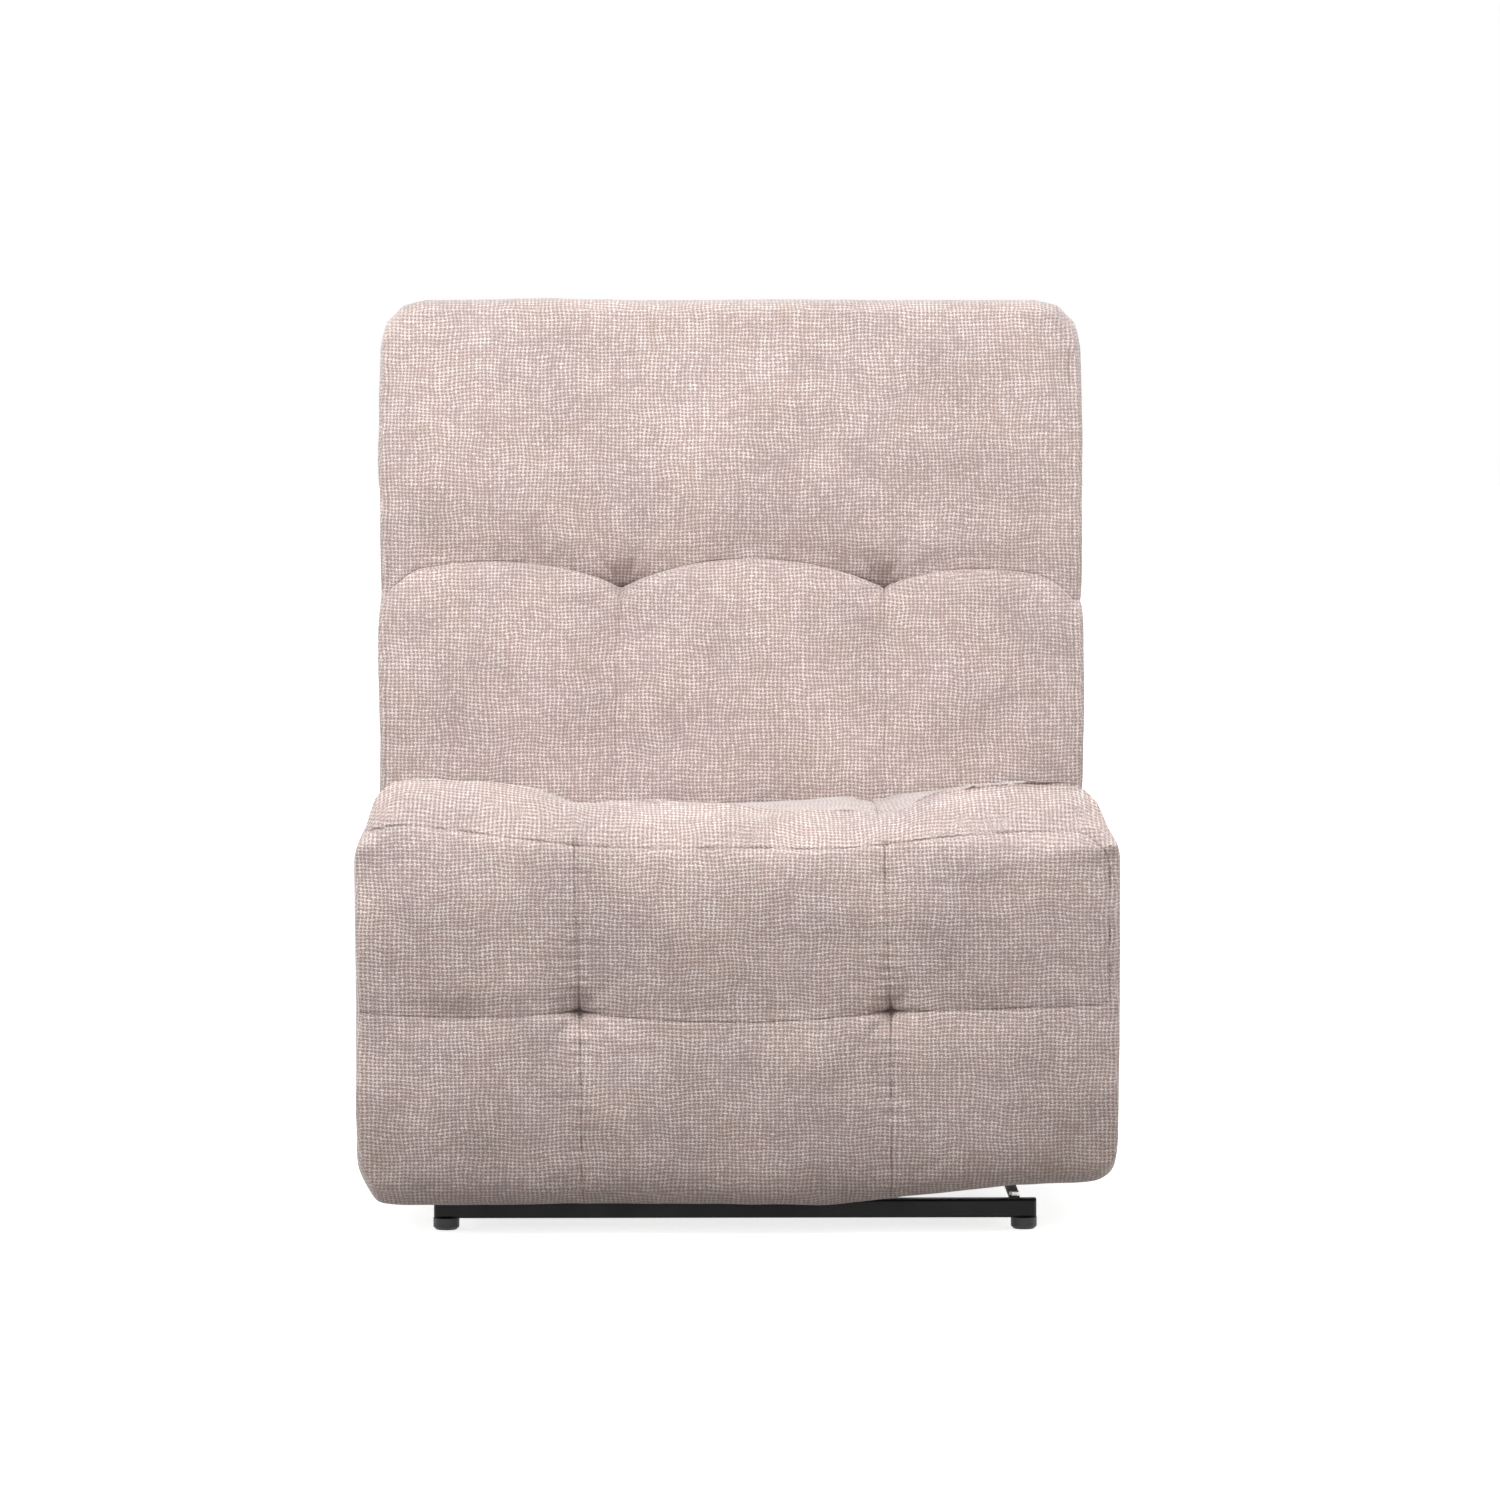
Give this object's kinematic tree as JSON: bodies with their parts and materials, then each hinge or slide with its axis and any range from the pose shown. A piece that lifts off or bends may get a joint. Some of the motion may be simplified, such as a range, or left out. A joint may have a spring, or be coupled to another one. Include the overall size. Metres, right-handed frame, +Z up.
{
  "type": "armless recliner chair",
  "caption": "Wide armless recliner with tufted cushions and a fold-out footrest pad on a low steel glide base; the seat glides forward as the back leans.",
  "frame": {"origin": "centre of the bounding box on the floor, all joints at rest", "axes": "+Z up, -Y out of the front where the footrest opens, +X to the right of the front"},
  "size_m": [0.812, 0.9002, 0.9966],
  "materials": {
    "black_steel": "black powder coat",
    "black_plastic": "fine texture",
    "zinc_fasteners": "zinc plated",
    "mechanism_steel": "black phosphate and paint",
    "frame_wood": "plain sawn hardwood and ply",
    "webbing": "woven elastic strap",
    "chenille": "mottled pinkish beige chenille with a basket weave"
  },
  "bodies": {
    "base": {"base_tubes": "black_steel", "base_end_caps": "black_plastic", "floor_glides": "black_plastic", "base_rail_left": "black_steel", "base_rail_right": "black_steel", "base_bolts": "zinc_fasteners"},
    "front_glide": {"front_glide_link_left": "mechanism_steel", "front_glide_link_right": "mechanism_steel", "glide_tie_tube": "mechanism_steel"},
    "rear_glide": {"rear_glide_link_left": "mechanism_steel", "rear_glide_link_right": "mechanism_steel"},
    "seat": {"seat_plate_left": "mechanism_steel", "seat_plate_right": "mechanism_steel", "seat_side_rail_left": "frame_wood", "seat_side_rail_right": "frame_wood", "seat_front_rail": "frame_wood", "seat_rear_rail": "frame_wood", "seat_nose_board": "frame_wood", "seat_webbing": "webbing", "seat_plate_screws": "zinc_fasteners", "side_board_left": "frame_wood", "side_board_right": "frame_wood", "side_pad_left": "chenille", "side_pad_right": "chenille", "seat_cushion": "chenille", "release_bezel": "black_plastic"},
    "release": {"release_paddle": "black_plastic", "release_shaft": "zinc_fasteners"},
    "lift_arm": {"lift_arm_left": "mechanism_steel", "lift_arm_right": "mechanism_steel", "footrest_torque_tube": "mechanism_steel"},
    "steer_link": {"steer_link_left": "mechanism_steel", "steer_link_right": "mechanism_steel"},
    "carry_link": {"carry_link_left": "mechanism_steel", "carry_link_right": "mechanism_steel"},
    "second_link": {"second_link_left": "mechanism_steel", "second_link_right": "mechanism_steel"},
    "footrest": {"footrest_bracket_left": "mechanism_steel", "footrest_bracket_right": "mechanism_steel", "footrest_board": "frame_wood", "footrest_board_screws": "zinc_fasteners", "footrest_pad": "chenille"},
    "back": {"back_bracket_left": "mechanism_steel", "back_bracket_right": "mechanism_steel", "back_stile_left": "frame_wood", "back_stile_right": "frame_wood", "back_top_rail": "frame_wood", "back_bottom_rail": "frame_wood", "back_bracket_screws": "zinc_fasteners", "back_webbing": "webbing", "back_panel": "frame_wood", "back_rear_pad": "chenille", "back_band_left": "chenille", "back_band_right": "chenille", "back_band_top": "chenille", "back_cushion": "chenille"},
    "back_link": {"back_link_left": "mechanism_steel", "back_link_right": "mechanism_steel"}
  },
  "joints": [
    {"name": "seat_glide", "type": "hinge", "parent": "base", "child": "rear_glide", "pos_m": [0, 0.12, 0.062], "axis": [1, 0, 0], "range_deg": [0, 60]},
    {"name": "seat_level", "type": "hinge", "parent": "rear_glide", "child": "seat", "pos_m": [0, 0.16, 0.13128], "axis": [-1, 0, 0], "range_deg": [0, 60]},
    {"name": "front_glide_swing", "type": "hinge", "parent": "base", "child": "front_glide", "pos_m": [0, -0.16, 0.062], "axis": [1, 0, 0], "range_deg": [0, 60]},
    {"name": "back_recline", "type": "hinge", "parent": "seat", "child": "back", "pos_m": [0, 0.115, 0.3], "axis": [-1, 0, 0], "range_deg": [0, 35]},
    {"name": "back_link_swing", "type": "hinge", "parent": "base", "child": "back_link", "pos_m": [0, 0.07035, 0.10906], "axis": [1, 0, 0], "range_deg": [0, 38.24]},
    {"name": "footrest_open", "type": "hinge", "parent": "seat", "child": "lift_arm", "pos_m": [0, -0.25775, 0.2334], "axis": [-1, 0, 0], "range_deg": [0, 86]},
    {"name": "carry_swing", "type": "hinge", "parent": "lift_arm", "child": "carry_link", "pos_m": [0, -0.23686, 0.07476], "axis": [1, 0, 0], "range_deg": [0, 108.36]},
    {"name": "footrest_tilt", "type": "hinge", "parent": "carry_link", "child": "footrest", "pos_m": [0, -0.328, 0.275], "axis": [-1, 0, 0], "range_deg": [0, 108.36]},
    {"name": "second_swing", "type": "hinge", "parent": "lift_arm", "child": "second_link", "pos_m": [0, -0.2306, 0.11933], "axis": [1, 0, 0], "range_deg": [0, 108.36]},
    {"name": "steer_swing", "type": "hinge", "parent": "seat", "child": "steer_link", "pos_m": [0, -0.28205, 0.1977], "axis": [-1, 0, 0], "range_deg": [0, 91.1]},
    {"name": "release_pull", "type": "hinge", "parent": "seat", "child": "release", "pos_m": [0, -0.042, 0.205], "axis": [-1, 0, 0], "range_deg": [0, 22], "stiffness_Nm_per_rad": 0.8, "springref_deg": -34.38}
  ],
  "couplings": [
    {"joint": "seat_level", "follows": "seat_glide", "ratio": 1},
    {"joint": "front_glide_swing", "follows": "seat_glide", "ratio": 1},
    {"joint": "back_recline", "follows": "seat_glide", "ratio": 0.58333},
    {"joint": "back_link_swing", "follows": "seat_glide", "ratio": 0.63733},
    {"joint": "carry_swing", "follows": "footrest_open", "ratio": 1.26},
    {"joint": "footrest_tilt", "follows": "footrest_open", "ratio": 1.26},
    {"joint": "second_swing", "follows": "footrest_open", "ratio": 1.26},
    {"joint": "steer_swing", "follows": "footrest_open", "ratio": 1.0593}
  ]
}
